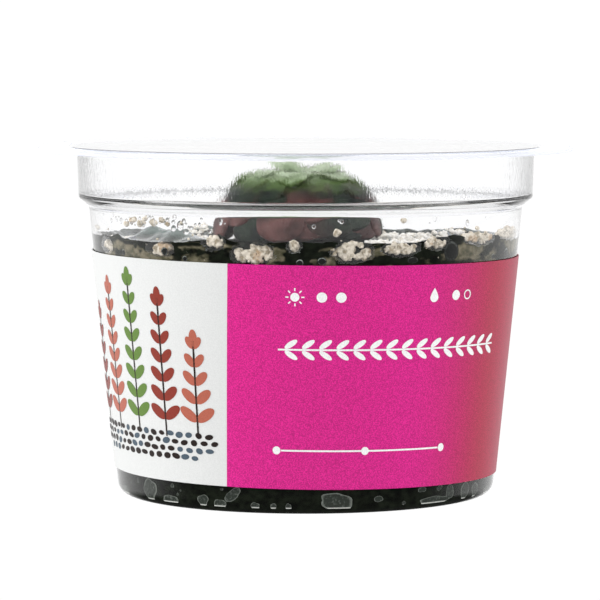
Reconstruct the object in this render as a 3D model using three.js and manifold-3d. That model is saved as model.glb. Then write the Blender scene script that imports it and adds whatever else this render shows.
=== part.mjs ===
// A butterwort in its clear culture cup: a rosette of thick leaves rooted in black gel, white
// crumbs of perlite against the wall, a wrap-round label, and a film lid sealed on the rim.
// Millimetres, +Z up. The origin is the centre of the cup's foot, on the surface it stands on.
import * as THREE from "three";
import { mergeVertices } from "three/addons/utils/BufferGeometryUtils.js";
import Module from "manifold-3d";

const wasm = await Module();
wasm.setup();

const { clamp, degToRad, lerp, radToDeg, smoothstep } = THREE.MathUtils;

// Every turned piece has the same number of sides, so that their flats lie parallel.
const SIDES = 48;
const BEND_STEPS = 2;
const ROUND_SIDES = 12; // on the slim round parts of the plant
const SLIVER = 0.03; // the shortest edge that a join may leave
const TOUCHING = 1e-3;

// Cup: one thin moulding, a tapered body, a sloping ledge, a wider collar and a flat rim.
const CUP_WALL = 0.7;
const BODY_FOOT_RADIUS = 33.4; // where the body's slope meets the ground
const BODY_TAPER = 0.1015;
const FOOT_RADIUS = 30.4;
const FOOT_BEND = 2;
const PUNT_RADIUS = 25;
const PUNT_RISE = 0.6;
const LEDGE_LOW = 51; // where it leaves the body
const LEDGE_HIGH = 53; // where it meets the collar
const LEDGE_BEND = 0.6;
const COLLAR_FOOT_RADIUS = 40.4;
const COLLAR_TOP_RADIUS = 40.7;
const RIM_HEIGHT = 61.1;
const RIM_BEND = 0.6;
const RIM_RADIUS = 47.5;

// Film lid, sealed on the rim.
const FILM_THICKNESS = 0.25;
const FILM_RADIUS = 47.2;
const FILM_GAP = 0.1;

// Label: a band that follows the cone and sits slightly askew, open at the back.
const LABEL_LOW = 4.5;
const LABEL_HIGH = 43;
const LABEL_THICKNESS = 0.25;
const LABEL_GAP = 0.1;
const LABEL_TILT = -0.0145; // rise for each millimetre to the right
const LABEL_OPENING = { width: 10, depth: 20 }; // the box cut out of the band at the back

// Gel: it fills the body, climbs at the wall and has a hole for the plant's neck and roots.
const GEL_LEVEL = 45.8;
const GEL_CLEARANCE = 0.15;
const GEL_RINGS = [35.8, 33.6, 31, 28, 24.5, 20, 13, 7];
const ROOT_HOLE_RADIUS = 3.6;
const ROOT_HOLE_DEPTH = 15;
const MENISCUS_RISE = 1.1;
const MENISCUS_WIDTH = 2.6;
// Mounds where the gel was broken up before it set, each at an angle from the front.
const GEL_MOUNDS = [
  { angle: -62, radius: 30, height: 2.9, spread: 3.6 },
  { angle: -49, radius: 29, height: 2.5, spread: 3.8 },
  { angle: -38, radius: 30, height: 1.2, spread: 3 },
  { angle: 112, radius: 27, height: 1.6, spread: 3.6 },
  { angle: 163, radius: 27, height: 2.4, spread: 3.8 },
  { angle: -138, radius: 27, height: 2.2, spread: 4 },
];

// Perlite: crumbs that hold together in clumps, each in a pocket of the gel at the wall.
const CRUMB_RADIUS = 1.3;
const CRUMB_PITCH = 1.75;
const CRUMB_CENTRE_RADIUS = 35.5; // from the cup's axis
const CRUMB_SCATTER = { radius: 0.15, height: 0.12, size: 0.1 };
const POCKET_INNER_RADIUS = 33.5;
const POCKET_OUTER_RADIUS = 40;
const POCKET_MARGIN = 0.9; // degrees past a clump's ends
const POCKET_FLOOR_GAP = 0.5;
const CLUMPS = [
  { angle: -67, halfSpan: 4, low: 43.9, high: 46.3 },
  { angle: -42, halfSpan: 5.5, low: 43.9, high: 46.5 },
  { angle: -24.7, halfSpan: 3.2, low: 45.3, high: 48.1 },
  { angle: -13.8, halfSpan: 6.3, low: 42.9, high: 47.1 },
  { angle: -3, halfSpan: 2.1, low: 45.2, high: 47.5 },
  { angle: 12.3, halfSpan: 6, low: 43.3, high: 47.1 },
  { angle: 25.5, halfSpan: 6, low: 44.5, high: 46.7 },
  { angle: 36.5, halfSpan: 4.2, low: 45.3, high: 47.6 },
  { angle: 53, halfSpan: 7.5, low: 45.5, high: 48.1 },
  { angle: 73.5, halfSpan: 12, low: 45.9, high: 48.5 },
  { angle: 104, halfSpan: 5, low: 44.3, high: 46.7 },
  { angle: 131, halfSpan: 7, low: 44.9, high: 47.3 },
  { angle: 158, halfSpan: 4, low: 43.7, high: 46.9 },
  { angle: -166, halfSpan: 7, low: 44.7, high: 47.1 },
  { angle: -134, halfSpan: 4.2, low: 44.3, high: 46.7 },
  { angle: -100, halfSpan: 6.5, low: 44.7, high: 47.1 },
];

// Rosette: leaves spiral round a short stem. The outer ones arch over in a dome and hang to the
// gel, and those in the heart stand up. Lists of values run from the outermost leaf to the
// innermost in even steps.
const ROSETTE_OFFSET = -0.8; // it stands a little to the left of the axis
const LEAF_COUNT = 56;
const GOLDEN_ANGLE = 137.508;
const LEAF_SIDES = 6;
const LEAF_STEPS = 9;
const LEAF_LENGTHS = [17.5, 18.6, 15.5, 11, 10];
const LEAF_HALF_WIDTHS = [4.4, 4.3, 3.7, 2.7, 1.5];
const LEAF_HALF_THICKNESSES = [1.1, 1.2, 1.05, 0.85, 0.7];
const LEAF_START_ANGLES = [36, 42, 50, 62, 84]; // above the horizon, where it leaves the stem
const LEAF_END_ANGLES = [-92, -94, -66, -10, 78];
const LEAF_ROOT_RADII = [1.4, 1.2, 0.9, 0.6, 0.3];
const LEAF_ROOT_HEIGHTS = [6.9, 7.1, 7.8, 6.8, 4]; // above the gel
const LEAF_CURLS = [-0.06, 0, 0.1, 0.24, 0.26]; // rise of the margins, as a share of half a width
const LEAF_TIP_POWERS = [5.5, 5, 4, 2.5, 2]; // 2 is pointed and 5 is blunt
const LEAF_SCATTER = { azimuth: 8, length: 0.04, width: 0.08, start: 3, end: 4 };
const LEAF_WIDEST = 0.6; // share of the length
const LEAF_ROOT_SHARE = 0.45; // width at the root, as a share of the widest
const LEAF_TIP_THICKNESS = 0.5; // as a share of the thickness at the root
const STEM_RADIUS = 3;
const STEM_CENTRE = 4.4; // above the gel, and half its height
const NECK_RADIUS = 2.2;
const NECK_DEPTH = 2;
const ROOT_COUNT = 6;
const ROOT_LENGTH = 13;
const ROOT_SPREAD = 1.9; // from the axis of the neck, where a root stands furthest out
const ROOT_SIDES = 5;
const ROOT_STEPS = 4;
const ROOT_RADII = [0.75, 0.4]; // at the neck, at the tip

const bodyRadius = (height) => BODY_FOOT_RADIUS + BODY_TAPER * height;

// A repeatable scatter of values between -1 and 1, a different one for each channel.
const scatter = (index, channel) => {
  const turns = 0.754877666 * index + 0.56984029 * channel;
  return 2 * (turns - Math.floor(turns)) - 1;
};

// The value at a share of the way along a list of evenly spaced ones.
const between = (values, share) => {
  const place = share * (values.length - 1);
  const step = Math.min(Math.floor(place), values.length - 2);
  return lerp(values[step], values[step + 1], place - step);
};

// A closed body of revolution about Z. Angles run from the front (-Y) towards +X.
function turned(profile) {
  return new THREE.LatheGeometry(profile, SIDES).rotateX(Math.PI / 2);
}

function solidOf(geometry) {
  const bare = geometry.clone();
  bare.deleteAttribute("normal");
  bare.deleteAttribute("uv");
  const merged = mergeVertices(bare, 1e-4);
  return new wasm.Manifold(
    new wasm.Mesh({
      numProp: 3,
      vertProperties: new Float32Array(merged.attributes.position.array),
      triVerts: new Uint32Array(merged.index.array),
    }),
  );
}

function geometryOf(solid) {
  const mesh = solid.getMesh();
  const geometry = new THREE.BufferGeometry();
  geometry.setAttribute("position", new THREE.BufferAttribute(mesh.vertProperties, 3));
  geometry.setIndex(new THREE.BufferAttribute(mesh.triVerts, 1));
  geometry.computeVertexNormals();
  return geometry;
}

// Joins geometries that grow from one another into one body, without the hollows that the
// join seals and the slivers that it leaves.
function fused(geometries) {
  const bodies = wasm.Manifold.union(geometries.map(solidOf)).simplify(SLIVER).decompose();
  bodies.sort((a, b) => b.volume() - a.volume());
  return geometryOf(bodies[0]);
}

// The skin under the foot, from the axis round the bend to the side, moved in by inset.
function footSkin(inset) {
  return new THREE.Path()
    .moveTo(0, PUNT_RISE + inset)
    .lineTo(PUNT_RADIUS, PUNT_RISE + inset)
    .lineTo(PUNT_RADIUS + PUNT_RISE, inset)
    .lineTo(FOOT_RADIUS, inset)
    .quadraticCurveTo(bodyRadius(0) - inset, inset, bodyRadius(FOOT_BEND) - inset, FOOT_BEND);
}

// The cup's skin from the axis under the foot to the edge of the rim, moved in by inset.
function cupSkin(inset) {
  const width = COLLAR_FOOT_RADIUS - bodyRadius(LEDGE_LOW);
  const slope = Math.atan2(LEDGE_HIGH - LEDGE_LOW, width);
  const lift = inset * Math.tan(Math.PI / 4 - slope / 2);
  const bendWidth = LEDGE_BEND * Math.cos(slope);
  const bendHeight = LEDGE_BEND * Math.sin(slope);
  const low = LEDGE_LOW + lift;
  const high = LEDGE_HIGH + lift;
  const rim = RIM_HEIGHT + inset;
  const bodyTop = bodyRadius(LEDGE_LOW) - inset;
  const collarFoot = COLLAR_FOOT_RADIUS - inset;
  const collarTop = COLLAR_TOP_RADIUS - inset;
  return footSkin(inset)
    .lineTo(bodyTop, low - LEDGE_BEND)
    .quadraticCurveTo(bodyTop, low, bodyTop + bendWidth, low + bendHeight)
    .lineTo(collarFoot - bendWidth, high - bendHeight)
    .quadraticCurveTo(collarFoot, high, collarFoot, high + LEDGE_BEND)
    .lineTo(collarTop, rim - RIM_BEND)
    .quadraticCurveTo(collarTop, rim, collarTop + RIM_BEND, rim)
    .lineTo(RIM_RADIUS, rim)
    .getPoints(BEND_STEPS);
}

function cupGeometry() {
  const outside = cupSkin(0);
  const inside = cupSkin(CUP_WALL).reverse();
  return turned([...outside, ...inside]);
}

function filmGeometry() {
  const low = RIM_HEIGHT + CUP_WALL + FILM_GAP;
  const high = low + FILM_THICKNESS;
  return turned([
    new THREE.Vector2(0, low),
    new THREE.Vector2(FILM_RADIUS, low),
    new THREE.Vector2(FILM_RADIUS, high),
    new THREE.Vector2(0, high),
  ]);
}

// The band is turned, tilted with each point kept on the cone, and cut open at the back.
function labelGeometry() {
  const inner = LABEL_GAP;
  const outer = LABEL_GAP + LABEL_THICKNESS;
  const corners = [
    [inner, LABEL_LOW],
    [outer, LABEL_LOW],
    [outer, LABEL_HIGH],
    [inner, LABEL_HIGH],
    [inner, LABEL_LOW],
  ];
  const band = turned(corners.map(([gap, z]) => new THREE.Vector2(bodyRadius(z) + gap, z)));
  const place = band.attributes.position;
  for (let i = 0; i < place.count; i++) {
    const x = place.getX(i);
    const y = place.getY(i);
    const z = place.getZ(i);
    const radius = Math.hypot(x, y);
    const tiltedZ = z + LABEL_TILT * x;
    const scale = (radius + BODY_TAPER * (tiltedZ - z)) / radius;
    place.setXYZ(i, x * scale, y * scale, tiltedZ);
  }
  const { width, depth } = LABEL_OPENING;
  const opening = new THREE.BoxGeometry(width, depth, 2 * LABEL_HIGH);
  opening.translate(0, bodyRadius(LABEL_LOW), LABEL_HIGH / 2);
  return geometryOf(solidOf(band).subtract(solidOf(opening)));
}

// A spot at a radius from the axis and an angle from the front.
function spot(radius, degrees) {
  const angle = degToRad(degrees);
  return new THREE.Vector2(radius * Math.sin(angle), -radius * Math.cos(angle));
}

// How far the gel's top stands above its level.
function gelRelief(x, y) {
  const wallRadius = bodyRadius(GEL_LEVEL) - CUP_WALL;
  const towardsWall = smoothstep(Math.hypot(x, y), wallRadius - MENISCUS_WIDTH, wallRadius);
  return GEL_MOUNDS.reduce((relief, { angle, radius, height, spread }) => {
    const distance = spot(radius, angle).distanceTo({ x, y });
    return relief + height * Math.exp(-((distance / spread) ** 2));
  }, MENISCUS_RISE * towardsWall ** 2);
}

// The space that a clump of perlite takes out of the gel, open towards the wall.
function pocketGeometry({ angle, halfSpan, low }) {
  const start = degToRad(angle - halfSpan - POCKET_MARGIN - 90);
  const end = degToRad(angle + halfSpan + POCKET_MARGIN - 90);
  const plan = new THREE.Shape()
    .absarc(0, 0, POCKET_OUTER_RADIUS, start, end, false)
    .absarc(0, 0, POCKET_INNER_RADIUS, end, start, true);
  const pocket = new THREE.ExtrudeGeometry(plan, {
    depth: CUP_WALL + RIM_HEIGHT - low,
    bevelEnabled: false,
    curveSegments: BEND_STEPS,
  });
  return pocket.translate(0, 0, low - POCKET_FLOOR_GAP);
}

function gelGeometry() {
  const inset = CUP_WALL + GEL_CLEARANCE;
  const wallTop = bodyRadius(GEL_LEVEL) - inset;
  const side = footSkin(inset).lineTo(wallTop, GEL_LEVEL).getPoints(BEND_STEPS);
  const top = [...GEL_RINGS, ROOT_HOLE_RADIUS].map((r) => new THREE.Vector2(r, GEL_LEVEL));
  const holeFloor = GEL_LEVEL - ROOT_HOLE_DEPTH;
  const hole = [new THREE.Vector2(ROOT_HOLE_RADIUS, holeFloor), new THREE.Vector2(0, holeFloor)];
  const block = turned([...side, ...top, ...hole]);
  const place = block.attributes.position;
  for (let i = 0; i < place.count; i++) {
    if (Math.abs(place.getZ(i) - GEL_LEVEL) > TOUCHING) continue;
    const x = place.getX(i);
    const y = place.getY(i);
    const radius = Math.hypot(x, y);
    const relief = gelRelief(x, y);
    const atWall = radius > wallTop - TOUCHING;
    const scale = atWall ? (wallTop + BODY_TAPER * relief) / radius : 1;
    place.setXYZ(i, x * scale, y * scale, GEL_LEVEL + relief);
  }
  const pockets = CLUMPS.map((clump) => solidOf(pocketGeometry(clump)));
  return geometryOf(solidOf(block).subtract(wasm.Manifold.union(pockets)).simplify(SLIVER));
}

// Places from -half to half, about a pitch apart at most.
function spread(half, pitch) {
  const steps = Math.ceil((2 * half) / pitch - 0.1);
  return Array.from({ length: steps + 1 }, (_, i) => (steps ? lerp(-half, half, i / steps) : 0));
}

// A clump at the front of the cup. Its mesh is turned to its angle.
function clumpGeometry({ halfSpan, low, high }, clumpIndex) {
  const halfLength = degToRad(halfSpan) * CRUMB_CENTRE_RADIUS - CRUMB_RADIUS;
  const halfHeight = (high - low) / 2 - CRUMB_RADIUS;
  const crumbs = [];
  for (const rise of spread(Math.max(0, halfHeight), CRUMB_PITCH)) {
    for (const along of spread(halfLength, CRUMB_PITCH)) {
      const index = 60 * clumpIndex + crumbs.length;
      const radius = CRUMB_CENTRE_RADIUS + CRUMB_SCATTER.radius * scatter(index, 1);
      const height = (low + high) / 2 + rise + CRUMB_SCATTER.height * scatter(index, 2);
      const size = CRUMB_RADIUS * (1 - CRUMB_SCATTER.size * Math.abs(scatter(index, 3)));
      const { x, y } = spot(radius, radToDeg(along / CRUMB_CENTRE_RADIUS));
      const crumb = new THREE.IcosahedronGeometry(size);
      crumb.rotateZ(Math.PI * scatter(index, 4)).rotateX(Math.PI * scatter(index, 5));
      crumbs.push(crumb.translate(x, y, height));
    }
  }
  return fused(crumbs);
}

// Half the leaf's width at a share of its length, as a share of its greatest half width.
function leafOutline(share, tipPower) {
  const rising = Math.sin((Math.PI / 2) * Math.min(1, share / LEAF_WIDEST));
  if (share < LEAF_WIDEST) return lerp(LEAF_ROOT_SHARE, 1, rising);
  return 1 - ((share - LEAF_WIDEST) / (1 - LEAF_WIDEST)) ** tipPower;
}

// A ball drawn out along an arc into a thick blade.
function leafGeometry(index) {
  const share = index / (LEAF_COUNT - 1);
  const azimuth = degToRad(GOLDEN_ANGLE * index + LEAF_SCATTER.azimuth * scatter(index, 1));
  const length = between(LEAF_LENGTHS, share) * (1 + LEAF_SCATTER.length * scatter(index, 2));
  const halfWidth = between(LEAF_HALF_WIDTHS, share) * (1 + LEAF_SCATTER.width * scatter(index, 3));
  const halfThickness = between(LEAF_HALF_THICKNESSES, share);
  const curl = between(LEAF_CURLS, share);
  const tipPower = between(LEAF_TIP_POWERS, share);
  const startAngle = between(LEAF_START_ANGLES, share) + LEAF_SCATTER.start * scatter(index, 4);
  const endAngle = between(LEAF_END_ANGLES, share) + LEAF_SCATTER.end * scatter(index, 5);
  const start = degToRad(startAngle);
  const end = degToRad(endAngle);
  const bend = end - start;
  const outwards = new THREE.Vector3(Math.sin(azimuth), -Math.cos(azimuth), 0);
  const up = new THREE.Vector3(0, 0, 1);
  const across = new THREE.Vector3().crossVectors(outwards, up);
  const root = outwards.clone().multiplyScalar(between(LEAF_ROOT_RADII, share));
  root.z = between(LEAF_ROOT_HEIGHTS, share);
  const leaf = new THREE.SphereGeometry(1, LEAF_SIDES, LEAF_STEPS);
  const place = leaf.attributes.position;
  for (let i = 0; i < place.count; i++) {
    const polar = Math.acos(clamp(-place.getY(i), -1, 1));
    const along = polar / Math.PI;
    const ring = Math.sin(polar);
    const atEnd = ring < TOUCHING;
    const slope = start + bend * along;
    const reach = (length * (Math.sin(slope) - Math.sin(start))) / bend;
    const rise = (length * (Math.cos(start) - Math.cos(slope))) / bend;
    const acrossShare = atEnd ? 0 : place.getX(i) / ring;
    const thicknessShare = atEnd ? 0 : place.getZ(i) / ring;
    const halfSpan = halfWidth * leafOutline(along, tipPower);
    const thickness = halfThickness * lerp(1, LEAF_TIP_THICKNESS, along) * thicknessShare;
    const lift = thickness + curl * halfSpan * acrossShare ** 2;
    const point = root
      .clone()
      .addScaledVector(outwards, reach - lift * Math.sin(slope))
      .addScaledVector(up, rise + lift * Math.cos(slope))
      .addScaledVector(across, halfSpan * acrossShare);
    place.setXYZ(i, point.x, point.y, point.z);
  }
  return leaf;
}

// A root that bows outwards and twists a little on its way down the hole.
function rootGeometry(index) {
  const azimuth = (2 * Math.PI * index) / ROOT_COUNT;
  const [thick, thin] = ROOT_RADII;
  const root = new THREE.CylinderGeometry(thick, thin, ROOT_LENGTH, ROOT_SIDES, ROOT_STEPS);
  root.rotateX(Math.PI / 2).translate(0, 0, -ROOT_LENGTH / 2);
  const place = root.attributes.position;
  for (let i = 0; i < place.count; i++) {
    const depth = -place.getZ(i) / ROOT_LENGTH;
    const reach = ROOT_SPREAD * Math.sin(Math.PI * lerp(0.25, 0.85, depth));
    place.setX(i, place.getX(i) + reach * Math.sin(azimuth + depth));
    place.setY(i, place.getY(i) - reach * Math.cos(azimuth + depth));
  }
  return root;
}

function rosetteGeometry() {
  const stem = new THREE.SphereGeometry(1, ROUND_SIDES, ROUND_SIDES / 2).rotateX(Math.PI / 2);
  stem.scale(STEM_RADIUS, STEM_RADIUS, STEM_CENTRE).translate(0, 0, STEM_CENTRE);
  const neckHeight = STEM_CENTRE + NECK_DEPTH;
  const neck = new THREE.CylinderGeometry(NECK_RADIUS, NECK_RADIUS, neckHeight, ROUND_SIDES);
  neck.rotateX(Math.PI / 2).translate(0, 0, neckHeight / 2 - NECK_DEPTH);
  const leaves = Array.from({ length: LEAF_COUNT }, (_, i) => leafGeometry(i));
  const roots = Array.from({ length: ROOT_COUNT }, (_, i) => rootGeometry(i));
  return fused([stem, neck, ...leaves, ...roots]);
}

function piece(name, geometry, finish) {
  const mesh = new THREE.Mesh(geometry, new THREE.MeshStandardMaterial(finish));
  mesh.name = name;
  return mesh;
}

const CLEAR = { color: 0xf1f4f6, roughness: 0.06, metalness: 0, transparent: true, opacity: 0.25 };
const PRINTED = { color: 0xcf3a88, roughness: 0.35, metalness: 0 };
const GEL = { color: 0x14180f, roughness: 0.18, metalness: 0 };
const PERLITE = { color: 0xe4ddcf, roughness: 0.9, metalness: 0 };
const LEAF = { color: 0x8c4f45, roughness: 0.55, metalness: 0 };

const butterwort = new THREE.Group();
const pot = new THREE.Group();
const contents = new THREE.Group();
butterwort.add(pot, contents);

pot.add(piece("cup", cupGeometry(), CLEAR));
pot.add(piece("label", labelGeometry(), PRINTED));
pot.add(piece("film_lid", filmGeometry(), CLEAR));

contents.add(piece("gel", gelGeometry(), GEL));
CLUMPS.forEach((clump, i) => {
  const number = String(i + 1).padStart(2, "0");
  const mesh = piece(`perlite_clump_${number}`, clumpGeometry(clump, i), PERLITE);
  mesh.rotation.z = degToRad(clump.angle);
  contents.add(mesh);
});

const rosette = piece("rosette", rosetteGeometry(), LEAF);
rosette.position.set(ROSETTE_OFFSET, 0, GEL_LEVEL);
contents.add(rosette);

export default butterwort;
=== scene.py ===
# A butterwort in its clear culture cup, section by section as the real one is put together: the
# cup, the gel, the perlite, the plant, the film lid, the label, and last the studio round it.
# Shapes are drawn in millimetres and moved into the frame in metres. +Z is up, the front is -Y.
import math
import random

import bmesh
import bpy
from mathutils import Euler, Matrix, Vector, noise


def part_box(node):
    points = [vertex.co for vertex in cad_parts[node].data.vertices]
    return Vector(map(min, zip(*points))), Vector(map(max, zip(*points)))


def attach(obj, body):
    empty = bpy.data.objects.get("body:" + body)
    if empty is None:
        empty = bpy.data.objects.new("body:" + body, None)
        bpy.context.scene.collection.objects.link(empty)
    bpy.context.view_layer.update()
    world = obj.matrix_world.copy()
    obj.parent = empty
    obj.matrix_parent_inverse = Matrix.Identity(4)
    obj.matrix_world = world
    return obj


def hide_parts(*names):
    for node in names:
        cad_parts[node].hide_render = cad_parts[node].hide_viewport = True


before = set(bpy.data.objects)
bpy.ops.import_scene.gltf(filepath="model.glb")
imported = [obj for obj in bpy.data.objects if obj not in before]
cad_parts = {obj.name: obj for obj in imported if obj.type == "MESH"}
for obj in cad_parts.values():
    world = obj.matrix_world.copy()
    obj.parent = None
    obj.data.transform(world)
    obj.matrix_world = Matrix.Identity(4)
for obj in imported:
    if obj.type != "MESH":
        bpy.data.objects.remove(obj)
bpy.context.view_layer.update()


# Cup: one thin moulding of clear plastic, drawn hot over a form. It has a raised base, a tapered
# body, a sloping ledge, a wider collar and a flat rim. Everything else stands in it or on it.
MM = 0.001
CUP_WALL = 0.7
BODY_FOOT_RADIUS = 33.4  # where the body's slope meets the ground
BODY_TAPER = 0.1015
PUNT_RADIUS = 25
PUNT_RISE = 0.6
PUNT_BEND = 0.3
LEDGE_LOW = 51.35
LEDGE_LOW_BEND = 0.35
LEDGE_HIGH = 52.85
LEDGE_HIGH_BEND = 0.18
LEDGE_GROOVE = [(51.95, 0), (52.05, 0.08), (52.15, 0)]  # heights, and how deep it is there
COLLAR_FOOT_RADIUS = 40.4
COLLAR_TOP_RADIUS = 40.7
RIM_HEIGHT = 61.1
RIM_RADIUS = 47.5
FOOT_BEND = 2
SMALL_BEND = 0.6
RIM_EDGE_BEND = 0.16
COLLAR_WALL = 0.35
CORNER_FILL = 0.35  # how far the thick corner inside the ledge reaches above it
CORNER_LEAN = 0.8  # and how far in from the body
CORNER_CLEAR = 1  # how far above the ledge the drawn wall of the collar begins
TURN_STEPS = 240
SHARP_ANGLE = math.radians(42)
CLEAR = (0.995, 0.997, 1, 1)
PLASTIC_IOR = 1.5
COLLAR_IOR = 1.12  # drawn so thin that it hardly bends light


class Field:
    """A socket in a material. Arithmetic adds Math nodes, and node() adds any other node."""

    def __init__(self, tree, socket):
        self.tree = tree
        self.socket = socket

    def node(self, kind, settings, sockets, output=0):
        made = self.tree.nodes.new(kind)
        for name, value in settings.items():
            setattr(made, name, value)
        for name, value in sockets.items():
            if isinstance(value, Field):
                self.tree.links.new(value.socket, made.inputs[name])
            else:
                made.inputs[name].default_value = value
        return Field(self.tree, made.outputs[output])

    def maths(self, operation, *values):
        return self.node("ShaderNodeMath", {"operation": operation}, dict(enumerate(values)))

    def __add__(self, other):
        return self.maths("ADD", self, other)

    def __sub__(self, other):
        return self.maths("SUBTRACT", self, other)

    def __rsub__(self, other):
        return self.maths("SUBTRACT", other, self)

    def __mul__(self, other):
        return self.maths("MULTIPLY", self, other)

    __radd__ = __add__
    __rmul__ = __mul__

    def ramp(self, low, high):
        """0 below low, 1 above high, and smooth between them."""
        settings = {"interpolation_type": "SMOOTHSTEP"}
        return self.node("ShaderNodeMapRange", settings, {0: self, 1: low, 2: high})

    def between(self, first, second):
        """A colour: the first where the field is 0, the second where it is 1."""
        sockets = {0: self, 6: first, 7: second}
        return self.node("ShaderNodeMix", {"data_type": "RGBA"}, sockets, output=2)

    def cloud(self, size, detail=3, stretch=(1, 1, 1)):
        """Noise over the place that the field holds, with lumps of about that size in mm."""
        scaled = self.node("ShaderNodeMapping", {}, {"Vector": self, "Scale": stretch})
        sockets = {"Vector": scaled, "Scale": 1 / (size * MM), "Detail": detail}
        return self.node("ShaderNodeTexNoise", {}, sockets)

    def cells(self, size):
        """How far it is to the nearest of many points, about that many mm apart."""
        return self.node("ShaderNodeTexVoronoi", {}, {"Vector": self, "Scale": 1 / (size * MM)})

    def axis(self, letter):
        return self.node("ShaderNodeSeparateXYZ", {}, {0: self}, output="XYZ".index(letter))

    def kept(self, name):
        """A value that the mesh keeps for each of its points."""
        return self.node("ShaderNodeAttribute", {"attribute_name": name}, {}, output=2)

    def bump(self, strength, depth):
        sockets = {"Height": self, "Strength": strength, "Distance": depth * MM}
        return self.node("ShaderNodeBump", {}, sockets)


def tint(red, green, blue):
    """A colour given in 8-bit screen values, as the shader wants it."""
    shares = [value / 255 for value in (red, green, blue)]
    return (*[s / 12.92 if s < 0.04 else ((s + 0.055) / 1.055) ** 2.4 for s in shares], 1)


def shader_socket(finish, name):
    return finish.node_tree.nodes["Principled BSDF"].inputs[name.replace("_", " ")]


def new_finish(name, **constants):
    """A material with its shader's own sockets set, and the place on the piece to vary it by."""
    finish = bpy.data.materials.new(name)
    finish.use_nodes = True
    tree = finish.node_tree
    for socket, value in constants.items():
        shader_socket(finish, socket).default_value = value
    return finish, Field(tree, tree.nodes.new("ShaderNodeTexCoord").outputs["Object"])


def clear_finish(name, ior, colour=CLEAR, **constants):
    return new_finish(name, Base_Color=colour, Transmission_Weight=1, IOR=ior, **constants)


def hazy_finish(name, opacity):
    return new_finish(name, Base_Color=tint(222, 225, 236), Alpha=opacity, Specular_IOR_Level=0.1)


def feed(finish, **fields):
    """Lets fields drive sockets of the finish's shader."""
    for socket, field in fields.items():
        finish.node_tree.links.new(field.socket, shader_socket(finish, socket))


def verts_in(parts):
    return [part for part in parts if isinstance(part, bmesh.types.BMVert)]


def face_out(bm):
    bmesh.ops.recalc_face_normals(bm, faces=bm.faces)


def new_layer(bm, name):
    """Room for a value at each point, for a finish to read."""
    return bm.verts.layers.float.new(name)


def turned(corners, steps=TURN_STEPS):
    """A skin turned about the axis from (radius, height, rounding) corners, an eighth at first."""
    bm = bmesh.new()
    verts = [bm.verts.new((radius, 0, height)) for radius, height, _ in corners]
    for start, end in zip(verts, verts[1:]):
        bm.edges.new((start, end))
    for vert, (_, _, rounding) in zip(verts, corners):
        if rounding:
            bmesh.ops.bevel(
                bm, geom=[vert], offset=rounding, offset_type="OFFSET", segments=6,
                profile=0.5, affect="VERTICES", material=-1,
            )
    bmesh.ops.spin(
        bm, geom=bm.verts[:] + bm.edges[:], cent=(0, 0, 0), axis=(0, 0, 1),
        angle=math.pi / 4, steps=steps // 8,
    )
    for turn in (math.pi / 4, math.pi / 2, math.pi):
        copied = bmesh.ops.duplicate(bm, geom=bm.verts[:] + bm.edges[:] + bm.faces[:])
        turning = Matrix.Rotation(turn, 3, "Z")
        bmesh.ops.rotate(bm, verts=verts_in(copied["geom"]), cent=(0, 0, 0), matrix=turning)
    bmesh.ops.remove_doubles(bm, verts=bm.verts, dist=1e-3)
    face_out(bm)
    return bm


def as_mesh(bm, name):
    mesh = bpy.data.meshes.new(name)
    bm.to_mesh(mesh)
    bm.free()
    return mesh


def put_in_scene(data, name):
    made = bpy.data.objects.new(name, data)
    bpy.context.scene.collection.objects.link(made)
    return made


def piece(bm, name, finishes, nodes=()):
    """Makes what was drawn a piece of the object, in place of the named solids."""
    if bm.calc_volume(signed=True) < 0:
        bmesh.ops.reverse_faces(bm, faces=bm.faces)
    bm.transform(Matrix.Scale(MM, 4))
    mesh = as_mesh(bm, name)
    mesh.shade_smooth()
    mesh.set_sharp_from_angle(angle=SHARP_ANGLE)
    for finish in finishes:
        mesh.materials.append(finish)
    made = put_in_scene(mesh, name)
    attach(made, "root")
    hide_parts(*nodes)
    return made


def body_radius(height):
    return BODY_FOOT_RADIUS + BODY_TAPER * height


def inside_radius(height):
    return body_radius(height) - CUP_WALL


def ledge_radius(height):
    share = (height - LEDGE_LOW) / (LEDGE_HIGH - LEDGE_LOW)
    return body_radius(LEDGE_LOW) + share * (COLLAR_FOOT_RADIUS - body_radius(LEDGE_LOW))


outer_skin = [
    (0, PUNT_RISE, 0),
    (PUNT_RADIUS, PUNT_RISE, 0),
    (PUNT_RADIUS + PUNT_RISE, 0, PUNT_BEND),
    (BODY_FOOT_RADIUS, 0, FOOT_BEND),
    (body_radius(LEDGE_LOW), LEDGE_LOW, LEDGE_LOW_BEND),
    *[(ledge_radius(height) - sunk, height, 0) for height, sunk in LEDGE_GROOVE],
    (COLLAR_FOOT_RADIUS, LEDGE_HIGH, LEDGE_HIGH_BEND),
    (COLLAR_TOP_RADIUS, RIM_HEIGHT, SMALL_BEND),
    (RIM_RADIUS, RIM_HEIGHT, RIM_EDGE_BEND),
]
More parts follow.
